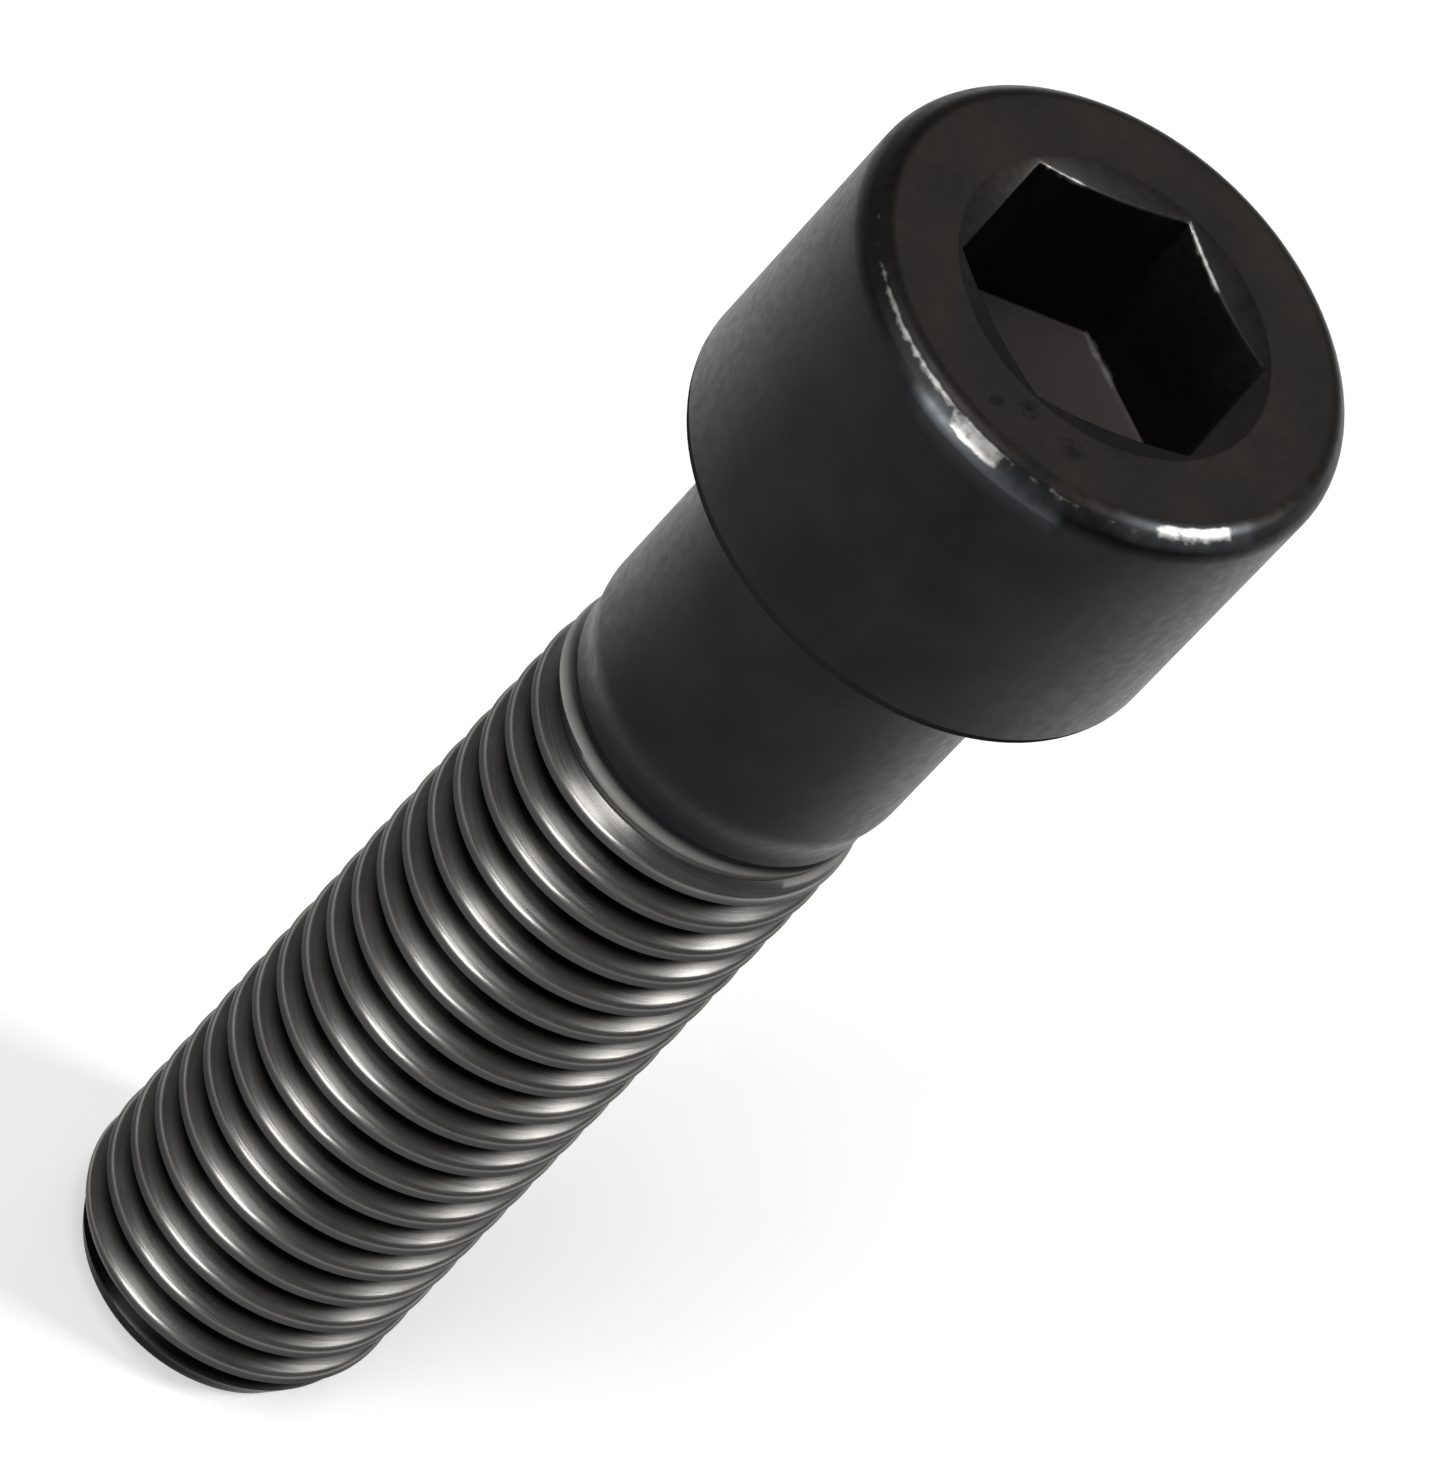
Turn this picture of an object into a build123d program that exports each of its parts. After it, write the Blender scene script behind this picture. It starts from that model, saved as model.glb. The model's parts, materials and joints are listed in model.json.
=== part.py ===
from build123d import *
import math
import os

# Socket head cap screw with a rolled coarse thread, one forged and rolled piece of steel.
# Millimetres. The flat end of the point is z = 0, and +Z runs up the axis to the head.
# A flat of the hexagon faces +X, so two of its corners lie along Y.

# Head, a plain cylinder with broken edges
head_diameter = 23.8
head_height = 15.9
head_top_chamfer = 0.9
head_bottom_chamfer = 0.6

# Hexagon socket, cold forged, with a flat floor and a shallow countersunk mouth
socket_across_flats = 12.7
socket_depth = 8.5
socket_mouth_margin = 0.3
socket_mouth_angle = 140.0

# Shank, from the seat under the head to the flat end of the point
shank_length = 63.5
body_diameter = 15.9
body_length = 14.0
body_flare = 0.6
shoulder_length = 1.3
neck_diameter = 15.2
neck_length = 0.9

# Right-hand thread, whose crest flat is a share of the pitch and whose flanks meet at the root
thread_diameter = 15.9
thread_pitch = 2.309
thread_angle = 60.0
crest_flat_share = 0.25
first_crest_height = 1.2

# Run-out at the neck, where crests sink and roots rise over shares of the pitch
crest_runout_share = 1.0
root_runout_share = 2.5
neck_lap_share = 0.25

# Point, a flat end with a long chamfer
point_diameter = 13.5
point_chamfer_length = 2.6

# Every cut and every lap between two forms runs past by this much
overrun = 0.3

# Radii of the shank
body_radius = body_diameter / 2
thread_radius = thread_diameter / 2
crest_flat = crest_flat_share * thread_pitch
flank_rise = (thread_pitch - crest_flat) / 2
thread_depth = flank_rise / math.tan(math.radians(thread_angle / 2))
root_radius = thread_radius - thread_depth
neck_radius = neck_diameter / 2

# Heights along the axis
seat_height = shank_length
top_height = seat_height + head_height
body_end = seat_height - body_length
neck_top = body_end - shoulder_length
neck_end = neck_top - neck_length
crest_runout = crest_runout_share * thread_pitch
root_runout = root_runout_share * thread_pitch
root_runout_end = neck_end - neck_lap_share * thread_pitch


def turned(points):
    """A solid turned about Z from (radius, height) points that start and end on the axis."""
    outline = Polyline([(radius, 0, height) for radius, height in points], close=True)
    return revolve(make_face(outline), Axis.Z)


def thread_section(height):
    """One pitch of the thread's outline, root to root, as (radius, height) points."""
    return [
        (root_radius, height),
        (thread_radius, height + flank_rise),
        (thread_radius, height + flank_rise + crest_flat),
        (root_radius, height + thread_pitch),
    ]


def helix_turn(radius, height):
    """One right-hand turn of a helix that starts on the +X side at this height."""
    return Edge.make_helix(thread_pitch, thread_pitch, radius, center=(0, 0, height))


def strip(first_edge, second_edge):
    """A ruled face between two edges."""
    return Face.make_surface_from_curves(first_edge, second_edge)


def thread_end(height):
    """The helical floor of one turn and the step beside it, which close the rod's end."""
    section = thread_section(height)
    high = height + thread_pitch
    floor = strip(helix_turn(root_radius, height), Edge.make_line((0, 0, height), (0, 0, high)))
    rim = [(radius, 0, z) for radius, z in section]
    step = make_face(Polyline(rim + [(0, 0, high), (0, 0, height)], close=True))
    return [floor, step.face()]


def threaded_rod(low, high):
    """A closed threaded rod that reaches past both heights, one strip for each flank and crest."""
    start = first_crest_height - thread_pitch / 2
    start -= thread_pitch * math.ceil((start + thread_pitch - low) / thread_pitch)
    turns = math.ceil((high - start) / thread_pitch) + 1
    faces = []
    for turn in range(turns):
        section = thread_section(start + turn * thread_pitch)
        edges = [helix_turn(radius, z) for radius, z in section]
        faces += [strip(below, above) for below, above in zip(edges, edges[1:])]
    faces += thread_end(start)
    faces += thread_end(start + turns * thread_pitch)
    return Solid(Shell(faces))


def thread_limits():
    """What the rod is trimmed to: the point's flat and chamfer, and the sinking crests."""
    outer_radius = thread_radius + overrun
    inner_radius = neck_radius - overrun
    chamfer_slope = point_chamfer_length / (thread_radius - point_diameter / 2)
    runout_slope = crest_runout / (thread_radius - neck_radius)
    return turned([
        (0, 0),
        (point_diameter / 2, 0),
        (outer_radius, point_chamfer_length + overrun * chamfer_slope),
        (outer_radius, neck_end - crest_runout - overrun * runout_slope),
        (inner_radius, neck_end + overrun * runout_slope),
        (0, neck_end + overrun * runout_slope),
    ])


def head_and_body():
    """Head, plain body and neck, with a long cone below that fills the last roots."""
    head_radius = head_diameter / 2
    root_slope = root_runout / (neck_radius - root_radius)
    cone_end = root_runout_end - root_runout - overrun * root_slope
    return turned([
        (0, cone_end),
        (root_radius - overrun, cone_end),
        (neck_radius, root_runout_end),
        (neck_radius, neck_top),
        (body_radius, body_end),
        (body_radius, seat_height - body_flare),
        (body_radius + body_flare, seat_height),
        (head_radius - head_bottom_chamfer, seat_height),
        (head_radius, seat_height + head_bottom_chamfer),
        (head_radius, top_height - head_top_chamfer),
        (head_radius - head_top_chamfer, top_height),
        (0, top_height),
    ])


def socket():
    """The space of the hexagon and its countersunk mouth."""
    sides = 6
    flat_radius = socket_across_flats / 2
    corner_radius = flat_radius / math.cos(math.pi / sides)
    hexagon = RegularPolygon(flat_radius, side_count=sides, major_radius=False, rotation=180 / sides)
    hexagon = extrude(Pos(0, 0, top_height - socket_depth) * hexagon, socket_depth + overrun)
    mouth_radius = corner_radius + socket_mouth_margin
    mouth_flare = math.tan(math.radians(socket_mouth_angle / 2))
    mouth = turned([
        (0, top_height - mouth_radius / mouth_flare),
        (mouth_radius + overrun * mouth_flare, top_height + overrun),
        (0, top_height + overrun),
    ])
    return hexagon + mouth


def cap_screw():
    """The whole screw as one solid."""
    thread = threaded_rod(0, neck_top) & thread_limits()
    return thread + head_and_body() - socket()


os.makedirs("parts", exist_ok=True)
export_step(cap_screw(), "parts/cap_screw.step")
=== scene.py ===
import json
import math

import bmesh
import bpy
from mathutils import Matrix, Quaternion, Vector


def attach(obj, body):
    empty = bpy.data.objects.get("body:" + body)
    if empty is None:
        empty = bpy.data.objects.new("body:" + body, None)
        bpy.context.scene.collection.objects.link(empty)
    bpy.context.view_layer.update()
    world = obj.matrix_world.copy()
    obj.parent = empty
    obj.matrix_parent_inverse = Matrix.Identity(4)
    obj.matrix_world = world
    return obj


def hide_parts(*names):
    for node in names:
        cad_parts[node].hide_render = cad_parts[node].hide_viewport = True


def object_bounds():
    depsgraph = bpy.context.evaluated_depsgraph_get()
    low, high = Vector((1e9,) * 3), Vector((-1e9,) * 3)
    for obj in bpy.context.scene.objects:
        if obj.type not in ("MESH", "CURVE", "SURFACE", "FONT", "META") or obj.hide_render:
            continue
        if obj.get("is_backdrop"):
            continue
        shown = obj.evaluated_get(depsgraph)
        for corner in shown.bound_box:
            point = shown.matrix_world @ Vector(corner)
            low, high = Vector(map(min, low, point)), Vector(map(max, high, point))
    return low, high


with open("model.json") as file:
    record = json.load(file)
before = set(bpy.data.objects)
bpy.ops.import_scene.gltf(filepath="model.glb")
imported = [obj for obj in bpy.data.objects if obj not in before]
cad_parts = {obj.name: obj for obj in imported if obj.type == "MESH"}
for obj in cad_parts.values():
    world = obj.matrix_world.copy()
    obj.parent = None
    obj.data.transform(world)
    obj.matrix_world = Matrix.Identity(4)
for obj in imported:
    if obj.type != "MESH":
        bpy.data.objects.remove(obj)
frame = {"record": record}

bl_info = {
    "name": "Socket head cap screw",
    "version": (1, 0, 0),
    "blender": (4, 5, 0),
    "location": "3D View > Sidebar > Cap screw",
    "description": "A black oxide socket head cap screw with a rolled thread, on a pale studio floor",
    "category": "Object",
}

# The box and the mounts of the solid give the sizes that the scene shares with it
CAD_LOW, CAD_HIGH = (corner.copy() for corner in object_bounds())
MOUNTS = {mount["name"]: mount for mount in frame["record"]["mounts"]}
MM = 0.001
HEXAGON_SIDES = 6

# Rounding that forging and tumbling leave: width in mm and faces across it
ROUNDS = {
    "point": (0.25, 3),
    "shoulder": (0.45, 4),
    "flare": (0.3, 3),
    "under_head": (0.33, 4),
    "rim": (0.45, 6),
    "mouth": (0.05, 2),
    "hexagon": (0.08, 3),
    "socket_floor": (0.15, 3),
}
# Run-out at the neck in pitches, and the softness of the changes along the thread
ROOT_RUNOUT_SHARE = 2.5
NECK_LAP_SHARE = 0.25
THREAD_BLEND = 0.12 * MM
# Rings beside an edge that keep its wear and its painted highlights from spreading over the next large face
RIM_MARGIN = 1.2 * MM
MOUTH_MARGIN = 0.2 * MM
WALL_MARGIN = 0.35 * MM
FOOT_MARGIN = 0.4 * MM
# Edges between faces that turn by more than this stay sharp
SHARP_ANGLE = math.radians(38)
# What the camera looks at, half the floor's width, and the light that comes from all round
CAMERA_AIM = Vector((0.000404, -0.000009, 0.045877))
FLOOR_HALF = 3.0
SURROUND_STRENGTH = 0.14
# Lifts the floor to white where it is seen, without lighting the screw
FLOOR_LIFT = 0.36


def linear(hex_colour):
    """Turns an sRGB hex colour into the linear values that Blender's colour sockets take."""
    parts = [int(hex_colour[i:i + 2], 16) / 255 for i in (1, 3, 5)]
    return tuple(c / 12.92 if c <= 0.04045 else ((c + 0.055) / 1.055) ** 2.4 for c in parts)


def length_property(name, description, default_mm):
    """A length that a user can change, kept in metres."""
    return bpy.props.FloatProperty(
        name=name, description=description, default=default_mm * MM, min=0.0,
        unit="LENGTH", subtype="DISTANCE", precision=5,
    )


def colour_property(name, description, hex_colour):
    """A colour that a user can change."""
    return bpy.props.FloatVectorProperty(
        name=name, description=description, default=linear(hex_colour), size=3, min=0.0, max=1.0, subtype="COLOR",
    )


def power_property(name, description, watts):
    """A lamp's power that a user can change."""
    return bpy.props.FloatProperty(name=name, description=description, default=watts, min=0.0, unit="POWER")


class ScrewSizes(bpy.types.PropertyGroup):
    """Sizes of the screw that its box and its mounts don't give."""

    head_top_chamfer: length_property("Head top chamfer", "Broken edge round the top of the head", 0.9)
    head_bottom_chamfer: length_property("Head bottom chamfer", "Broken edge under the head", 0.6)
    socket_across_flats: length_property("Socket across flats", "Width of the hexagon", 12.7)
    socket_mouth_margin: length_property("Socket mouth margin", "Countersink outside the hexagon's corners", 0.3)
    socket_mouth_angle: bpy.props.FloatProperty(
        name="Socket mouth angle", description="Angle of the countersink's cone", default=math.radians(140),
        subtype="ANGLE")
    body_flare: length_property("Body flare", "Rise of the body into the head's seat", 0.6)
    body_length: length_property("Body length", "Plain body under the head", 14.0)
    neck_diameter: length_property("Neck diameter", "Dip between the body's shoulder and the thread", 15.2)
    neck_length: length_property("Neck length", "Blank that shows between the body's shoulder and the thread", 0.9)
    thread_pitch: length_property("Thread pitch", "Rise of the thread in one turn", 2.309)
    thread_depth: length_property("Thread depth", "Sharp depth of the thread's flanks", 1.5)
    crest_flat: length_property("Crest flat", "Flat of a crest along the axis", 0.577)
    crest_round: length_property("Crest rounding", "Radius where a crest meets its upper flank", 0.48)
    crest_edge: length_property("Crest edge", "Radius where a crest meets its lower flank", 0.15)
    root_round: length_property("Root rounding", "Radius at the bottom of the thread", 0.2)
    first_crest: length_property("First crest height", "Height of a crest on the +X side above the point", 1.2)
    point_diameter: length_property("Point diameter", "Flat end of the point", 13.5)
    point_chamfer: length_property("Point chamfer", "Length of the chamfer at the point", 2.6)


class ScrewFinish(bpy.types.PropertyGroup):
    """Colours of the black oxide, of what shows where it is worn, and of the painted highlights, sheen, light and
    shade.
    """

    oxide: colour_property("Oxide", "Blue-black oxide on the forged head and body", "#18191a")
    oxide_dull: colour_property("Dull oxide", "Greyer clouds in the oxide", "#202021")
    # The face, rim and socket colours are paler than the side's: partly the face's own brown tint and partly painted
    # light on the head's top, which faces up
    face_oxide_and_painted_light: colour_property("Face oxide", "Brown-black oxide on the face, the rim and in the socket", "#302e2d")
    face_dull_and_painted_light: colour_property("Dull face oxide", "Browner clouds on the face", "#383430")
    # Far paler than the oxide: a painted pool of light on the socket's floor
    socket_floor: colour_property("Socket floor", "Rough floor that the punch leaves", "#857f7e")
    thread_root: colour_property("Thread root", "Oxide in the roots of the thread", "#171616")
    # Painted sheen: the flanks, which face up to the lamps, are painted far paler than the oxide, and the crests are
    # kept darker, a painted shade that damps their reflection of the floor
    thread_flank_sheen: colour_property("Thread flank", "Oxide that the dies burnish on the flanks", "#93918d")
    thread_crest: colour_property("Thread crest", "Duller oxide on the crests, which the dies don't press", "#454444")
    # Bare steel also paints the highlight line along the middle of the rim and the highlights on the socket's edges
    bare_steel_and_highlight: colour_property("Bare steel", "Steel where the oxide is knocked off", "#b7b5b2")
    # Smear also paints a sheen on the rim and on the countersink round the socket's mouth
    smear_and_sheen: colour_property("Smear", "Blue-grey rub beside a knock", "#5f6468")


class StudioSettings(bpy.types.PropertyGroup):
    """Floor, lamps and camera."""

    floor_colour: colour_property("Floor", "Pale floor", "#e8e8e8")
    front_power: power_property("Front softbox", "Low softbox in front on the left, for the crests of the thread", 4.35)
    left_power: power_property("Left softbox", "Softbox on the left, for the rim and the rounded crests", 0.96)
    overhead_power: power_property("Overhead softbox", "Softbox above the screw, for the upper flanks", 1.09)
    right_power: power_property("Right lamp", "Small lamp on the right, for the row of lights on the thread", 3.2)
    back_power: power_property("Back softbox", "Weak softbox behind, for the face of the head", 0.55)
    camera_distance: length_property("Camera distance", "From the lens to the screw's axis", 556.785)
    camera_lens: bpy.props.FloatProperty(
        name="Lens", description="Focal length for a 36 mm long side", default=311.554, min=1.0)
    camera_azimuth: bpy.props.FloatProperty(
        name="Azimuth", description="Where the camera stands round the screw", default=math.radians(-91.2578),
        subtype="ANGLE")
    camera_elevation: bpy.props.FloatProperty(
        name="Elevation", description="How far the camera looks down", default=math.radians(43.1845), subtype="ANGLE")
    camera_roll: bpy.props.FloatProperty(
        name="Roll", description="Tilt of the picture", default=math.radians(43.332), subtype="ANGLE")


def rounded(points, radii, segments):
    """A polyline of (radius, height) points whose inner corners are rounded."""
    line = [Vector(points[0])]
    for before, corner, after, radius in zip(points, points[1:], points[2:], radii):
        corner = Vector(corner)
        back = (Vector(before) - corner).normalized()
        ahead = (Vector(after) - corner).normalized()
        half = back.angle(ahead) / 2
        centre = corner + (back + ahead).normalized() * radius / math.sin(half)
        start = corner + back * radius / math.tan(half) - centre
        sweep = start.angle_signed(corner + ahead * radius / math.tan(half) - centre)
        # angle_signed counts clockwise, and a rotation matrix counts the other way
        line += [centre + Matrix.Rotation(-sweep * i / segments, 2) @ start for i in range(segments + 1)]
    return line + [Vector(points[-1])]


def smooth_min(a, b, blend):
    """The lesser of two lengths, with a soft change from one to the other."""
    share = min(max(0.5 + 0.5 * (b - a) / blend, 0.0), 1.0)
    return b + (a - b) * share - blend * share * (1.0 - share)


def set_radius(vertex, radius):
    """Moves a vertex straight out from the axis to a radius."""
    scale = radius / math.hypot(vertex.co.x, vertex.co.y)
    vertex.co.x *= scale
    vertex.co.y *= scale


def open_rim(mesh, height):
    """The edges of the open rim at a height."""
    return [e for e in mesh.edges if e.is_boundary and all(abs(v.co.z - height) < 0.01 * MM for v in e.verts)]


def draw_out(mesh, rim, place):
    """Extrudes an open rim once, moves each new vertex with place(vertex), and returns the new rim."""
    made = bmesh.ops.extrude_edge_only(mesh, edges=rim)["geom"]
    fresh = {g for g in made if isinstance(g, bmesh.types.BMVert)}
    for vertex in fresh:
        place(vertex)
    return [g for g in made if isinstance(g, bmesh.types.BMEdge) and all(v in fresh for v in g.verts)]


def ring(radius, height):
    """A place() for draw_out that makes a circle."""
    def place(vertex):
        set_radius(vertex, radius)
        vertex.co.z = height
    return place


def close_rim(mesh, rim, centre):
    """Extrudes an open rim to one closed pole."""
    made = bmesh.ops.extrude_edge_only(mesh, edges=rim)["geom"]
    bmesh.ops.pointmerge(mesh, verts=[g for g in made if isinstance(g, bmesh.types.BMVert)], merge_co=centre)


def soften(mesh, edges, name):
    """Rounds edges as forging and tumbling leave them."""
    width, segments = ROUNDS[name]
    bmesh.ops.bevel(
        mesh, geom=list(edges), offset=width * MM, offset_type="OFFSET", segments=segments, profile=0.5,
        affect="EDGES", material=-1, clamp_overlap=True,
    )


def bump_between(value, low, high, fade):
    """1 between two values, falling to 0 over fade on either side."""
    rise = min(max((value - low) / fade + 1.0, 0.0), 1.0)
    fall = min(max((high - value) / fade + 1.0, 0.0), 1.0)
    return rise * fall


# Where the rim is knocked bare or rubbed, partly real knocks and rubs and partly a painted highlight line along the
# middle of the rounded rim and a painted sheen: from and to angle in degrees, from and to across the rim in mm,
# strength
KNOCKS_AND_HIGHLIGHTS = (
    (-153, -139, 0.12, 0.22, 0.32),
    (-137, -100, 0.12, 0.22, 0.64),
    (-98, -88, -0.50, 0.20, 0.72),
    (-86, -72, 0.12, 0.22, 0.40),
    (-70, -54, 0.12, 0.22, 0.34),
    (-48, -29, 0.10, 0.60, 0.62),
)
# Rubs: partly real rubs and partly a painted sheen round the rim
RUBS_AND_SHEEN = (
    (-180, 180, -0.30, 0.40, 0.12),
    (-106, -72, -0.85, -0.20, 0.40),
    (-56, -24, -0.30, 0.65, 0.35),
)
# Bright edges in the socket, partly chips and partly painted highlights: from and to angle in degrees, strength, at its
# mouth and round its floor
MOUTH_KNOCKS_AND_HIGHLIGHTS = ((64, 89, 0.66), (131, 148, 0.52))
FLOOR_KNOCKS_AND_HIGHLIGHTS = ((68, 90, 0.58),)
# Pits that forging scale left in the head's face: x, y and radius in mm
PITS = ((-1.1, -9.4, 0.35), (0.1, -8.4, 0.55), (2.6, -8.5, 0.65))


def rim_mark_at(marks, angle, across):
    """How strongly the marks reach a place on the rim."""
    return max(
        strength * bump_between(angle, start, end, 3) * bump_between(across, low * MM, high * MM, 0.15 * MM)
        for start, end, low, high, strength in marks
    )


class OBJECT_OT_cap_screw(bpy.types.Operator):
    """Makes the screw as one closed mesh: rolled thread, neck, body, head and socket"""

    bl_idname = "object.cap_screw_make"
    bl_label = "Make the screw"
    bl_options = {"REGISTER", "UNDO"}

    STEPS_PER_TURN = 120

    def execute(self, context):
        size = context.scene.cap_screw_sizes
        finish = context.scene.cap_screw_finish
        self.read_frame(size)
        mesh = bmesh.new()
        self.roll_thread(mesh, size)
        soft = self.forge_point(mesh, size)
        soft += self.forge_body_and_head(mesh, size)
        soft += self.punch_socket(mesh, size)
        for edges, name in soft:
            soften(mesh, [e for e in edges if e.is_valid], name)
        bmesh.ops.remove_doubles(mesh, verts=mesh.verts, dist=0.001 * MM)
        bmesh.ops.recalc_face_normals(mesh, faces=mesh.faces)
        self.finish_faces(mesh)
        self.mark_wear(mesh, size)
        data = bpy.data.meshes.new("cap_screw_dressed")
        mesh.to_mesh(data)
        mesh.free()
        data.materials.append(oxide_on_forged_steel(finish))
        data.materials.append(oxide_on_rolled_thread(finish))
        data.materials.append(oxide_shaded_under_the_head(finish))
        screw = bpy.data.objects.new("cap_screw_dressed", data)
        context.scene.collection.objects.link(screw)
        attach(screw, "root")
        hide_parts("cap_screw")
        return {"FINISHED"}

    def read_frame(self, size):
        """Heights and radii that follow from the solid's box and mounts."""
        self.low, self.top = CAD_LOW.z, CAD_HIGH.z
        self.head_radius = CAD_HIGH.x
        self.seat = MOUNTS["seat"]["pos_m"][2]
        self.body_radius = MOUNTS["plain_body"]["dims"]["r_mm"] * MM
        self.thread_radius = MOUNTS["thread"]["dims"]["r_mm"] * MM
        self.neck_end = self.low + MOUNTS["thread"]["dims"]["length_mm"] * MM
        self.socket_floor = self.top - MOUNTS["drive_socket"]["dims"]["length_mm"] * MM
        self.neck_radius = size.neck_diameter / 2

    def roll_thread(self, mesh, size):
        """One pitch of the rolled outline, spun up the shank, then cut at the point and the neck."""
        root, crest, pitch = self.thread_radius - size.thread_depth, self.thread_radius, size.thread_pitch
        half_flat = size.crest_flat / 2
        corners = [(crest, 0), (crest, half_flat), (root, pitch / 2), (crest, pitch - half_flat), (crest, pitch)]
        outline = rounded(corners, (size.crest_round, size.root_round, size.crest_edge), 4)
        start = self.low + size.first_crest - 2 * pitch
        turns = math.ceil((self.neck_end - start) / pitch) + 1
        verts = [mesh.verts.new((point.x, 0, start + point.y)) for point in outline]
        edges = [mesh.edges.new(pair) for pair in zip(verts, verts[1:])]
        steps = self.STEPS_PER_TURN
        bmesh.ops.spin(
            mesh, geom=verts + edges, cent=(0, 0, 0), axis=(0, 0, 1), dvec=(0, 0, pitch / steps), angle=math.tau,
            steps=steps, use_merge=False, use_duplicate=False,
        )
        one_turn = mesh.verts[:] + mesh.edges[:] + mesh.faces[:]
        for turn in range(1, turns):
            copy = bmesh.ops.duplicate(mesh, geom=one_turn)["geom"]
            fresh = [g for g in copy if isinstance(g, bmesh.types.BMVert)]
            bmesh.ops.translate(mesh, vec=(0, 0, turn * pitch), verts=fresh)
        bmesh.ops.remove_doubles(mesh, verts=mesh.verts, dist=0.002 * MM)
        for height, way in ((self.low, -1), (self.neck_end, 1)):
            bmesh.ops.bisect_plane(
                mesh, geom=mesh.verts[:] + mesh.edges[:] + mesh.faces[:], dist=0.002 * MM,
                plane_co=(0, 0, height), plane_no=(0, 0, way), clear_outer=True,
            )
        # The point's chamfer trims the first crests, and at the neck crests sink and roots rise
        point_radius = size.point_diameter / 2
        sink = (self.thread_radius - self.neck_radius) / pitch
        rise = (self.neck_radius - root) / (ROOT_RUNOUT_SHARE * pitch)
        lap = NECK_LAP_SHARE * pitch
        for vertex in mesh.verts:
            radius = math.hypot(vertex.co.x, vertex.co.y)
            height = vertex.co.z - self.low
            cone = point_radius + (self.thread_radius - point_radius) * height / size.point_chamfer
            radius = smooth_min(radius, cone, THREAD_BLEND)
            left = self.neck_end - vertex.co.z
            radius = smooth_min(radius, self.neck_radius + sink * left, THREAD_BLEND)
            radius = -smooth_min(-radius, rise * max(left - lap, 0.0) - self.neck_radius, THREAD_BLEND)
            set_radius(vertex, radius)

    def forge_point(self, mesh, size):
        """The flat end of the point."""
        rim = open_rim(mesh, self.low)
        point_radius = size.point_diameter / 2
        inner = draw_out(mesh, rim, ring(0.7 * point_radius, self.low))
        inner = draw_out(mesh, inner, ring(0.3 * point_radius, self.low))
        close_rim(mesh, inner, (0, 0, self.low))
        return [(rim, "point")]

    def forge_body_and_head(self, mesh, size):
        """Neck, shoulder, plain body, flare, seat and head, drawn out of the thread's open end."""
        body_end = self.seat - size.body_length
        rim = open_rim(mesh, self.neck_end)
        rims = [rim]
        for radius, height in (
            (self.neck_radius, self.neck_end + size.neck_length),
            (self.body_radius, body_end),
            (self.body_radius, self.seat - size.body_flare),
            (self.body_radius + size.body_flare, self.seat),
            (self.head_radius - size.head_bottom_chamfer, self.seat),
            (self.head_radius, self.seat + size.head_bottom_chamfer),
            (self.head_radius, self.top - size.head_top_chamfer - RIM_MARGIN),
            (self.head_radius, self.top - size.head_top_chamfer),
            (self.head_radius - size.head_top_chamfer, self.top),
            (self.head_radius - size.head_top_chamfer - RIM_MARGIN, self.top),
        ):
            rims.append(draw_out(mesh, rims[-1], ring(radius, height)))
        neck_top, shoulder, flare, seat, under, side_low, _, side_high, face, self.face_rim = rims[1:]
        return [
            (neck_top + shoulder, "shoulder"),
            (flare + seat, "flare"),
            (under + side_low, "under_head"),
            (side_high + face, "rim"),
        ]

    def punch_socket(self, mesh, size):
        """Countersunk mouth, six walls and a flat floor."""
        flat_radius = size.socket_across_flats / 2
        sector = math.tau / HEXAGON_SIDES
        corner_radius = flat_radius / math.cos(sector / 2)
        mouth_radius = corner_radius + size.socket_mouth_margin
        slope = math.tan(size.socket_mouth_angle / 2)

        def hexagon_radius(vertex):
            turn = (math.atan2(vertex.co.y, vertex.co.x) + sector / 2) % sector - sector / 2
            return flat_radius / math.cos(turn)

        def mouth_edge(vertex):
            radius = hexagon_radius(vertex)
            set_radius(vertex, radius)
            vertex.co.z = self.top - (mouth_radius - radius) / slope

        def wall_foot(vertex):
            vertex.co.z = self.socket_floor

        def beside(offset):
            def place(vertex):
                radius = hexagon_radius(vertex) + offset
                set_radius(vertex, radius)
                if offset > 0:
                    vertex.co.z = self.top - (mouth_radius - radius) / slope
            return place

        def wall_high(vertex):
            vertex.co.z -= WALL_MARGIN

        def wall_low(vertex):
            vertex.co.z = self.socket_floor + FOOT_MARGIN

        mouth = draw_out(mesh, self.face_rim, ring(mouth_radius, self.top))
        inner = draw_out(mesh, mouth, beside(MOUTH_MARGIN))
        edge = draw_out(mesh, inner, mouth_edge)
        high = draw_out(mesh, edge, wall_high)
        low = draw_out(mesh, high, wall_low)
        foot = draw_out(mesh, low, wall_foot)
        near = draw_out(mesh, foot, beside(-FOOT_MARGIN))
        floor = draw_out(mesh, near, ring(0.6 * flat_radius, self.socket_floor))
        close_rim(mesh, floor, (0, 0, self.socket_floor))
        self.hexagon_radius = hexagon_radius
        self.mouth_height = lambda vertex: self.top - (mouth_radius - hexagon_radius(vertex)) / slope
        self.mouth_radius = mouth_radius
        return [(mouth, "mouth"), (edge, "hexagon"), (foot, "socket_floor")]

    def finish_faces(self, mesh):
        """Smooth faces with sharp edges kept, each with the thread's finish, the head's or the painted shade under the
        head.
        """
        for face in mesh.faces:
            face.smooth = True
            middle = face.calc_center_median()
            face.material_index = int(middle.z < self.neck_end)
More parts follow.
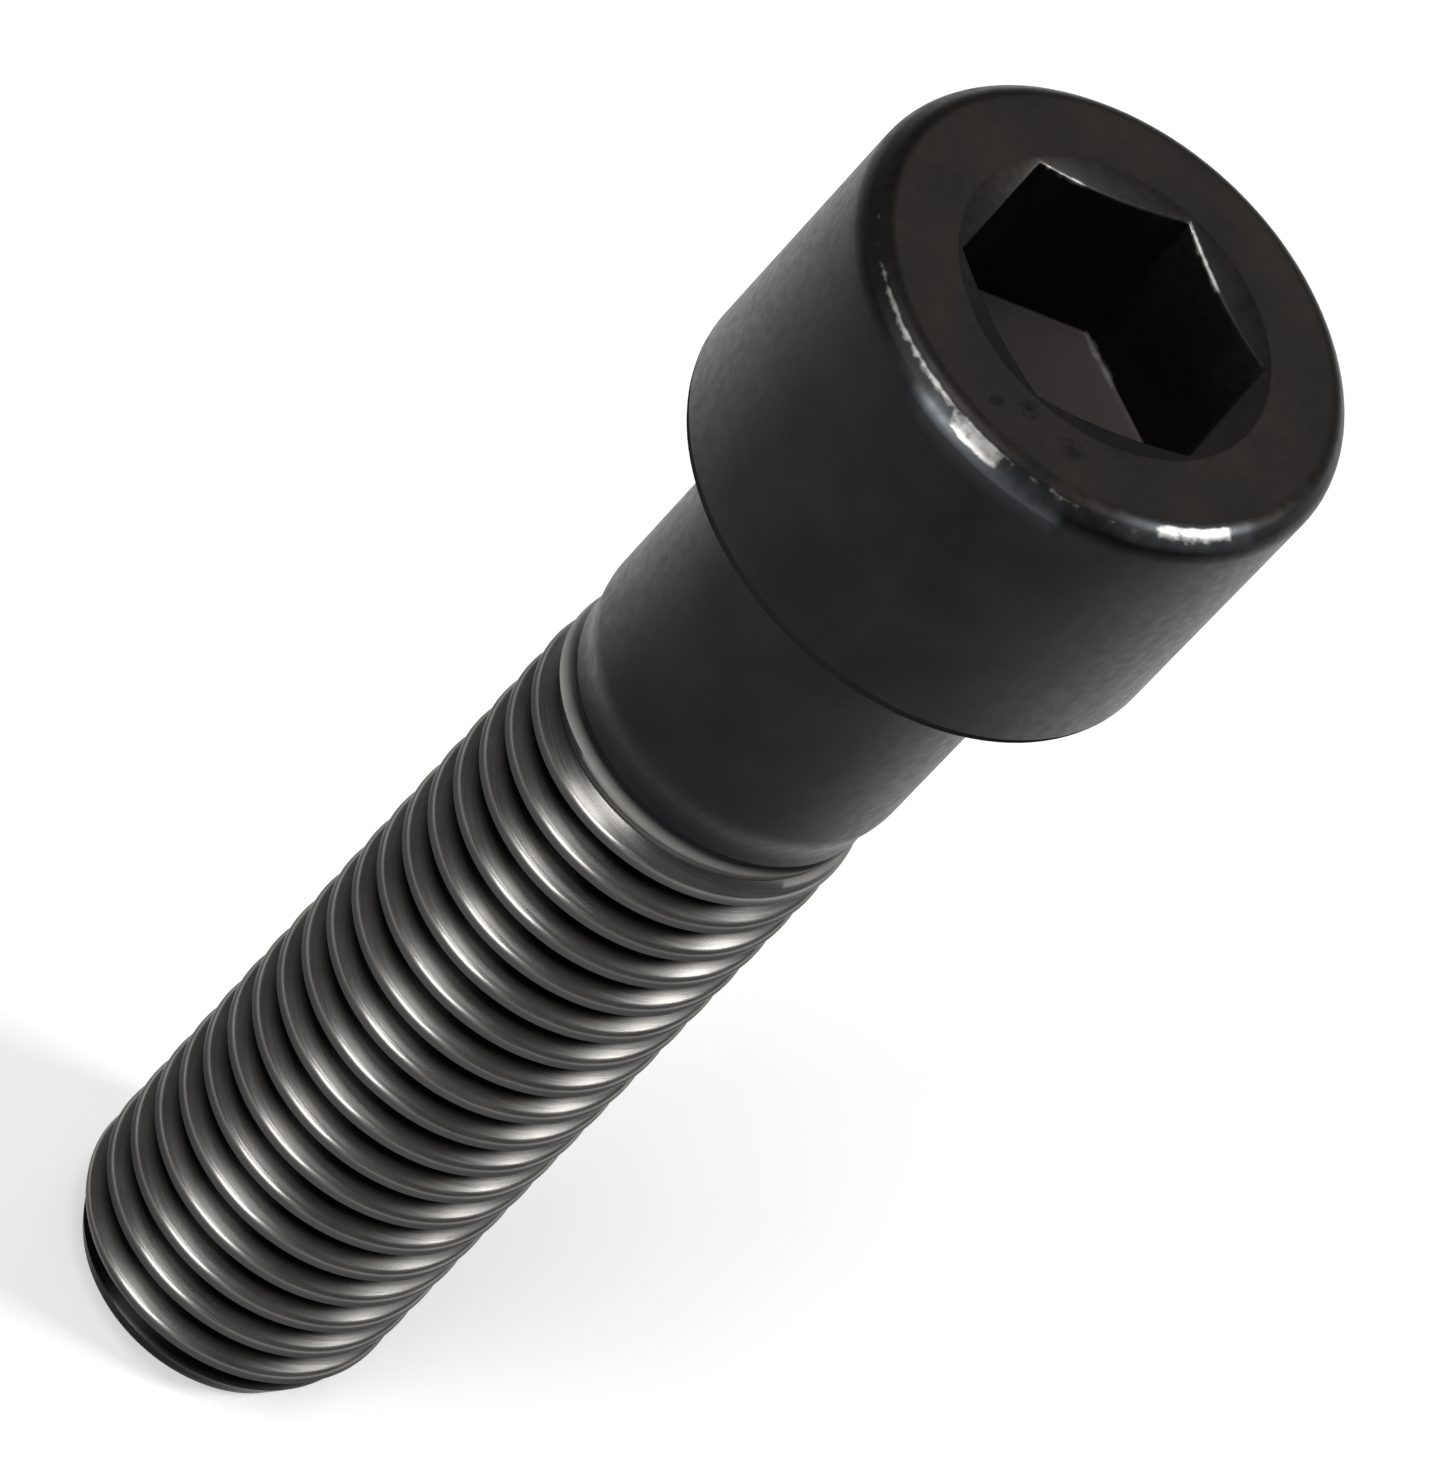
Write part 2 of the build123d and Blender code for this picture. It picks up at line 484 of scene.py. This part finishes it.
            # Painted shade: the edge under the head takes a matt dark finish without reflection
            if -0.1 * MM < middle.z - self.seat < 0.95 * MM and middle.to_2d().length > self.head_radius - 1.0 * MM:
                face.material_index = 2
        for edge in mesh.edges:
            edge.smooth = len(edge.link_faces) == 2 and edge.calc_face_angle() < SHARP_ANGLE

    def mark_wear(self, mesh, size):
        """How far each place is worn, where the painted highlights, sheen and pool of light go, and where the finishes
        change.
        """
        wear_and_highlight = mesh.verts.layers.float.new("edge_wear")
        rub = mesh.verts.layers.float.new("rub")
        crest = mesh.verts.layers.float.new("crest")
        neck = mesh.verts.layers.float.new("neck")
        face_layer = mesh.verts.layers.float.new("face")
        floor_layer = mesh.verts.layers.float.new("socket_floor")
        flat_radius = size.socket_across_flats / 2
        for vertex in mesh.verts:
            x, y, z = vertex.co
            radius = math.hypot(x, y)
            angle = math.degrees(math.atan2(y, x))
            # Across the rounded rim, from its foot on the side to its top on the face
            across = ((z - self.top) - (radius - self.head_radius)) / math.sqrt(2)
            outside = ((z - self.top) + (radius - self.head_radius) + size.head_top_chamfer) / math.sqrt(2)
            near_rim = float(outside > -0.5 * MM)
            # Rim marks: real knocks, and a painted highlight line along the middle of the rounded rim
            vertex[wear_and_highlight] = near_rim * rim_mark_at(KNOCKS_AND_HIGHLIGHTS, angle, across)
            # Socket edges: chips, and painted highlights on the countersink's facets and round the floor
            if z > self.seat and abs(radius - self.hexagon_radius(vertex)) < 0.17 * MM:
                marks = MOUTH_KNOCKS_AND_HIGHLIGHTS if z > self.socket_floor + 1.0 * MM else FLOOR_KNOCKS_AND_HIGHLIGHTS
                edge_height = self.mouth_height(vertex)
                if z > edge_height - 0.2 * MM or z < self.socket_floor + 0.2 * MM:
                    vertex[wear_and_highlight] = max(power * bump_between(angle, start, end, 3) for start, end, power in marks)
            vertex[rub] = near_rim * rim_mark_at(RUBS_AND_SHEEN, angle, across)
            # Painted sheen on the countersink, lightening the cone, which reflects darker surroundings than the face
            if self.top - 0.7 * MM < z < self.top - 0.03 * MM and radius < self.mouth_radius:
                vertex[rub] = 0.12
            vertex[crest] = (radius - self.thread_radius + size.thread_depth) / size.thread_depth
            vertex[neck] = min(max((z - self.neck_end + 1.1 * MM) / (0.8 * MM), 0.0), 1.0)
            in_socket = radius < 1.2 * flat_radius and z > self.seat
            on_floor = float(in_socket and z < self.socket_floor + 0.1 * MM)
            rim_share = (z - self.top + size.head_top_chamfer) / size.head_top_chamfer
            vertex[face_layer] = 1.0 if in_socket else min(max(rim_share, 0.0), 1.0)
            # The socket's floor, for its roughness and its painted pool of light
            vertex[floor_layer] = on_floor


def node(tree, kind, inputs=None, **settings):
    """Adds one node, sets its settings, and fills its inputs with values or links."""
    made = tree.nodes.new(kind)
    for name, value in settings.items():
        setattr(made, name, value)
    for name, value in (inputs or {}).items():
        if isinstance(value, bpy.types.NodeSocket):
            tree.links.new(value, made.inputs[name])
        else:
            made.inputs[name].default_value = value
    return made


def start_material(name):
    """An empty node material, its node tree and its Object coordinates."""
    material = bpy.data.materials.new(name)
    material.use_nodes = True
    tree = material.node_tree
    tree.nodes.clear()
    return material, tree, node(tree, "ShaderNodeTexCoord").outputs["Object"]


def oxide_on_forged_steel(finish):
    """Black oxide on cold forged steel: a thin blue-black coat with an oily brown cast, bright knocks, painted
    highlights and sheen on the rim and in the socket, a face painted paler than the side, and a painted pool of light
    on the socket's floor.
    """
    material, tree, place = start_material("black_oxide_on_forged_steel")
    # Clouds of oil and oxide some 4 mm across, forging grain of 0.5 mm and tumbling grit of 0.15 mm
    clouds = node(tree, "ShaderNodeTexNoise", {"Vector": place, "Scale": 1 / (4 * MM), "Detail": 5.0})
    grain = node(tree, "ShaderNodeTexNoise", {"Vector": place, "Scale": 1 / (0.5 * MM), "Detail": 3.0})
    grit = node(tree, "ShaderNodeTexNoise", {"Vector": place, "Scale": 1 / (0.15 * MM), "Detail": 2.0})
    cloudy = node(tree, "ShaderNodeMapRange", {"Value": clouds.outputs["Fac"], "From Min": 0.35, "From Max": 0.65})
    side = node(tree, "ShaderNodeMix", {
        0: cloudy.outputs[0], 6: (*finish.oxide, 1), 7: (*finish.oxide_dull, 1)}, data_type="RGBA")
    # Paler face: partly its own brown tint, partly painted light on the upward face
    face = node(tree, "ShaderNodeMix", {
        0: cloudy.outputs[0], 6: (*finish.face_oxide_and_painted_light, 1), 7: (*finish.face_dull_and_painted_light, 1)}, data_type="RGBA")
    on_face = node(tree, "ShaderNodeAttribute", attribute_name="face")
    skin = node(tree, "ShaderNodeMix", {
        0: on_face.outputs["Fac"], 6: side.outputs[2], 7: face.outputs[2]}, data_type="RGBA")
    # Painted pool of light: the socket's floor takes a far paler colour than the oxide
    on_floor = node(tree, "ShaderNodeAttribute", attribute_name="socket_floor")
    oxide = node(tree, "ShaderNodeMix", {
        0: on_floor.outputs["Fac"], 6: skin.outputs[2], 7: (*finish.socket_floor, 1)}, data_type="RGBA")
    # Pits in the face, each a shallow bowl
    bowl = None
    for x, y, radius in PITS:
        away = node(tree, "ShaderNodeVectorMath", {
            0: place, 1: (x * MM, y * MM, CAD_HIGH.z)}, operation="DISTANCE").outputs["Value"]
        ragged = node(tree, "ShaderNodeMath", {
            0: grain.outputs["Fac"], 1: 2.4 * radius * MM, 2: away}, operation="MULTIPLY_ADD")
        depth = node(tree, "ShaderNodeMapRange", {
            "Value": ragged.outputs[0], "From Min": 0.9 * radius * MM, "From Max": 2.3 * radius * MM,
            "To Min": 0.8, "To Max": 0.0}, interpolation_type="SMOOTHSTEP").outputs[0]
        bowl = node(tree, "ShaderNodeMath", {0: bowl, 1: depth}, operation="MAXIMUM").outputs[0] if bowl else depth
    pitted = node(tree, "ShaderNodeMix", {0: bowl, 6: oxide.outputs[2], 7: (*finish.oxide, 1)}, data_type="RGBA")
    # Knocks at the rim, and the painted highlights on the rim and the socket's edges, are bare steel where the mark,
    # broken up by the grain, is past a limit
    wear_and_highlight = node(tree, "ShaderNodeAttribute", attribute_name="edge_wear")
    ragged_wear_and_highlight = node(tree, "ShaderNodeMapRange", {
        "Value": grain.outputs["Fac"], "From Min": 0.3, "From Max": 0.7, "To Min": 0.0, "To Max": 0.4})
    wear_and_highlight_sum = node(tree, "ShaderNodeMath", {0: wear_and_highlight.outputs["Fac"], 1: ragged_wear_and_highlight.outputs[0]}, operation="ADD")
    bare_and_highlight = node(tree, "ShaderNodeMapRange", {
        "Value": wear_and_highlight_sum.outputs[0], "From Min": 0.5, "From Max": 1.0}, interpolation_type="SMOOTHSTEP")
    # Rubs and a painted sheen on the rim and the countersink
    rub = node(tree, "ShaderNodeAttribute", attribute_name="rub")
    rubbed_and_sheened = node(tree, "ShaderNodeMix", {
        0: rub.outputs["Fac"], 6: pitted.outputs[2], 7: (*finish.smear_and_sheen, 1)}, data_type="RGBA")
    colour = node(tree, "ShaderNodeMix", {
        0: bare_and_highlight.outputs[0], 6: rubbed_and_sheened.outputs[2], 7: (*finish.bare_steel_and_highlight, 1)}, data_type="RGBA")
    even = node(tree, "ShaderNodeMapRange", {
        "Value": grain.outputs["Fac"], "From Min": 0.3, "From Max": 0.7, "To Min": 0.36, "To Max": 0.46})
    # The punch leaves the socket's floor far rougher
    rough = node(tree, "ShaderNodeMix", {0: on_floor.outputs["Fac"], 2: even.outputs[0], 3: 0.85}, data_type="FLOAT")
    pit_bump = node(tree, "ShaderNodeBump", {
        "Height": bowl, "Strength": 0.5, "Distance": 0.1 * MM}, invert=True)
    grain_bump = node(tree, "ShaderNodeBump", {
        "Height": grain.outputs["Fac"], "Strength": 0.25, "Distance": 0.02 * MM,
        "Normal": pit_bump.outputs["Normal"]})
    bump = node(tree, "ShaderNodeBump", {
        "Height": grit.outputs["Fac"], "Strength": 0.3, "Distance": 0.008 * MM,
        "Normal": grain_bump.outputs["Normal"]})
    shader = node(tree, "ShaderNodeBsdfPrincipled", {
        "Base Color": colour.outputs[2], "Metallic": 1.0, "Roughness": rough.outputs[0],
        "Normal": bump.outputs["Normal"]})
    node(tree, "ShaderNodeOutputMaterial", {"Surface": shader.outputs["BSDF"]})
    return material


def oxide_on_rolled_thread(finish):
    """Black oxide on a rolled thread: a painted sheen on the flanks makes it shine more than the head, with dark roots
    and crests painted darker than the flanks.
    """
    material, tree, place = start_material("black_oxide_on_rolled_thread")
    # The dies leave streaks that run round the screw, some 0.08 mm wide and 5 mm long, and the oxide clouds over 3 mm
    stretch = node(tree, "ShaderNodeMapping", {
        "Vector": place, "Scale": (1 / (5 * MM), 1 / (5 * MM), 1 / (0.08 * MM))})
    streaks = node(tree, "ShaderNodeTexNoise", {"Vector": stretch.outputs[0], "Scale": 1.0, "Detail": 2.0})
    clouds = node(tree, "ShaderNodeTexNoise", {"Vector": place, "Scale": 1 / (3 * MM), "Detail": 4.0})
    # Painted sheen rising from the dark roots up the flanks, and painted shade on the crests that damps their
    # reflection of the floor
    crest = node(tree, "ShaderNodeAttribute", attribute_name="crest")
    painted_sheen_share = node(tree, "ShaderNodeMapRange", {
        "Value": crest.outputs["Fac"], "From Min": 0.4, "From Max": 0.85}, interpolation_type="SMOOTHSTEP")
    mottle = node(tree, "ShaderNodeMapRange", {
        "Value": clouds.outputs["Fac"], "From Min": 0.3, "From Max": 0.7, "To Min": 0.7, "To Max": 1.0})
    share = node(tree, "ShaderNodeMath", {0: painted_sheen_share.outputs[0], 1: mottle.outputs[0]}, operation="MULTIPLY")
    flank = node(tree, "ShaderNodeMix", {
        0: share.outputs[0], 6: (*finish.thread_root, 1), 7: (*finish.thread_flank_sheen, 1)}, data_type="RGBA")
    top = node(tree, "ShaderNodeMapRange", {
        "Value": crest.outputs["Fac"], "From Min": 0.95, "From Max": 1.0}, interpolation_type="SMOOTHSTEP")
    thread = node(tree, "ShaderNodeMix", {
        0: top.outputs[0], 6: flank.outputs[2], 7: (*finish.thread_crest, 1)}, data_type="RGBA")
    neck = node(tree, "ShaderNodeAttribute", attribute_name="neck")
    colour = node(tree, "ShaderNodeMix", {
        0: neck.outputs["Fac"], 6: thread.outputs[2], 7: (*finish.oxide, 1)}, data_type="RGBA")
    rough = node(tree, "ShaderNodeMapRange", {
        "Value": streaks.outputs["Fac"], "From Min": 0.3, "From Max": 0.7, "To Min": 0.24, "To Max": 0.32})
    bump = node(tree, "ShaderNodeBump", {
        "Height": streaks.outputs["Fac"], "Strength": 0.2, "Distance": 0.008 * MM})
    shader = node(tree, "ShaderNodeBsdfPrincipled", {
        "Base Color": colour.outputs[2], "Metallic": 1.0, "Roughness": rough.outputs[0],
        "Specular Tint": (0.5, 0.5, 0.5, 1), "Normal": bump.outputs["Normal"]})
    node(tree, "ShaderNodeOutputMaterial", {"Surface": shader.outputs["BSDF"]})
    return material


def oxide_shaded_under_the_head(finish):
    """Black oxide on the edge under the head, matt and without reflection: a painted shade that keeps the edge dull and
    as dark as the shade under the head.
    """
    material, tree, place = start_material("black_oxide_unrubbed")
    grain = node(tree, "ShaderNodeTexNoise", {"Vector": place, "Scale": 1 / (0.5 * MM), "Detail": 3.0})
    colour = node(tree, "ShaderNodeMix", {
        0: grain.outputs["Fac"], 6: (*finish.oxide, 1), 7: (*finish.oxide_dull, 1)}, data_type="RGBA")
    shader = node(tree, "ShaderNodeBsdfPrincipled", {
        "Base Color": colour.outputs[2], "Roughness": 0.9, "Specular IOR Level": 0.0})
    node(tree, "ShaderNodeOutputMaterial", {"Surface": shader.outputs["BSDF"]})
    return material


def seen_background(tree):
    """1 where a camera, glossy or transmission ray looks at the background, and 0 for light that falls on things."""
    path = node(tree, "ShaderNodeLightPath")
    gloss = node(tree, "ShaderNodeMath", {
        0: path.outputs["Is Camera Ray"], 1: path.outputs["Is Glossy Ray"]}, operation="MAXIMUM")
    return node(tree, "ShaderNodeMath", {
        0: gloss.outputs[0], 1: path.outputs["Is Transmission Ray"]}, operation="MAXIMUM").outputs[0]


class OBJECT_OT_studio(bpy.types.Operator):
    """Makes the pale floor, the white surroundings, the soft lamps and the camera"""

    bl_idname = "object.cap_screw_studio"
    bl_label = "Make the studio"
    bl_options = {"REGISTER", "UNDO"}

    def execute(self, context):
        studio = context.scene.cap_screw_studio
        self.make_floor(context, studio)
        self.make_surroundings(context)
        self.make_lamp(context, "front_softbox", studio.front_power, (-0.275, -0.715, 0.226), (0.40, 0.34))
        self.make_lamp(context, "left_softbox", studio.left_power, (-0.33, -0.48, 0.59), (0.34, 0.22))
        self.make_lamp(context, "overhead_softbox", studio.overhead_power, (-0.175, -0.145, 0.82), (0.32, 0.22), 48.6)
        self.make_lamp(context, "right_lamp", studio.right_power, (0.51, 0.20, 0.62), (0.18, 0.18))
        self.make_lamp(context, "back_softbox", studio.back_power, (0.0, 0.60, 0.65), (0.45, 0.45))
        self.make_camera(context, studio)
        context.scene.view_settings.view_transform = "Standard"
        return {"FINISHED"}

    def make_floor(self, context, studio):
        mesh = bmesh.new()
        bmesh.ops.create_grid(mesh, x_segments=1, y_segments=1, size=FLOOR_HALF)
        bmesh.ops.translate(mesh, vec=(0, 0, CAD_LOW.z), verts=mesh.verts)
        data = bpy.data.meshes.new("studio_floor")
        mesh.to_mesh(data)
        mesh.free()
        floor = bpy.data.objects.new("studio_floor", data)
        context.scene.collection.objects.link(floor)
        material, tree, _ = start_material("matt_paper_floor")
        # Matt paper that takes the soft shadow, lifted to white where it is seen
        paper = node(tree, "ShaderNodeBsdfDiffuse", {"Color": (*studio.floor_colour, 1)})
        seen = seen_background(tree)
        lift = node(tree, "ShaderNodeMath", {0: seen, 1: FLOOR_LIFT}, operation="MULTIPLY")
        glow = node(tree, "ShaderNodeEmission", {"Strength": lift.outputs[0]})
        both = node(tree, "ShaderNodeAddShader", {0: paper.outputs[0], 1: glow.outputs[0]})
        node(tree, "ShaderNodeOutputMaterial", {"Surface": both.outputs[0]})
        data.materials.append(material)
        floor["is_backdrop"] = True

    def make_surroundings(self, context):
        world = bpy.data.worlds.new("white_studio")
        world.use_nodes = True
        tree = world.node_tree
        tree.nodes.clear()
        sky = node(tree, "ShaderNodeBackground", {"Strength": SURROUND_STRENGTH, "Color": (1, 1, 1, 1)})
        node(tree, "ShaderNodeOutputWorld", {"Surface": sky.outputs[0]})
        context.scene.world = world

    def make_lamp(self, context, name, power, place, extent, turn=0.0):
        light = bpy.data.lights.new(name, "AREA")
        light.shape = "RECTANGLE"
        light.size, light.size_y = extent
        light.energy = power
        lamp = bpy.data.objects.new(name, light)
        lamp.location = place
        aim = Vector((0, 0, 0.05)) - Vector(place)
        spin = Quaternion((0, 0, 1), math.radians(turn))
        lamp.rotation_euler = (aim.to_track_quat("-Z", "Y") @ spin).to_euler()
        context.scene.collection.objects.link(lamp)

    def make_camera(self, context, studio):
        data = bpy.data.cameras.new("photo_camera")
        data.sensor_width = 36.0
        data.lens = studio.camera_lens
        data.clip_start, data.clip_end = 0.01, 20.0
        camera = bpy.data.objects.new("photo_camera", data)
        # Round the screw, down to its elevation, then rolled about the line of sight
        turn = Matrix.Rotation(studio.camera_azimuth + math.pi / 2, 4, "Z")
        turn = turn @ Matrix.Rotation(math.pi / 2 - studio.camera_elevation, 4, "X")
        turn = turn @ Matrix.Rotation(studio.camera_roll, 4, "Z")
        back = turn @ Vector((0, 0, 1))
        camera.matrix_world = Matrix.Translation(CAMERA_AIM + back * studio.camera_distance) @ turn
        context.scene.collection.objects.link(camera)
        context.scene.camera = camera


class VIEW3D_PT_cap_screw(bpy.types.Panel):
    """Lists the screw's sizes, its finish, the studio and what makes them"""

    bl_idname = "VIEW3D_PT_cap_screw"
    bl_label = "Cap screw"
    bl_space_type = "VIEW_3D"
    bl_region_type = "UI"
    bl_category = "Cap screw"

    def draw(self, context):
        for operator, group in (
            ("object.cap_screw_make", context.scene.cap_screw_sizes),
            ("object.cap_screw_make", context.scene.cap_screw_finish),
            ("object.cap_screw_studio", context.scene.cap_screw_studio),
        ):
            column = self.layout.column(align=True)
            for name in group.__annotations__:
                column.prop(group, name)
            column.operator(operator)


CLASSES = (ScrewSizes, ScrewFinish, StudioSettings, OBJECT_OT_cap_screw, OBJECT_OT_studio, VIEW3D_PT_cap_screw)


def register():
    for cls in CLASSES:
        bpy.utils.register_class(cls)
    bpy.types.Scene.cap_screw_sizes = bpy.props.PointerProperty(type=ScrewSizes)
    bpy.types.Scene.cap_screw_finish = bpy.props.PointerProperty(type=ScrewFinish)
    bpy.types.Scene.cap_screw_studio = bpy.props.PointerProperty(type=StudioSettings)


def unregister():
    del bpy.types.Scene.cap_screw_sizes
    del bpy.types.Scene.cap_screw_finish
    del bpy.types.Scene.cap_screw_studio
    for cls in reversed(CLASSES):
        bpy.utils.unregister_class(cls)


def main():
    register()
    bpy.ops.object.cap_screw_make()
    bpy.ops.object.cap_screw_studio()


if __name__ == "__main__":
    main()
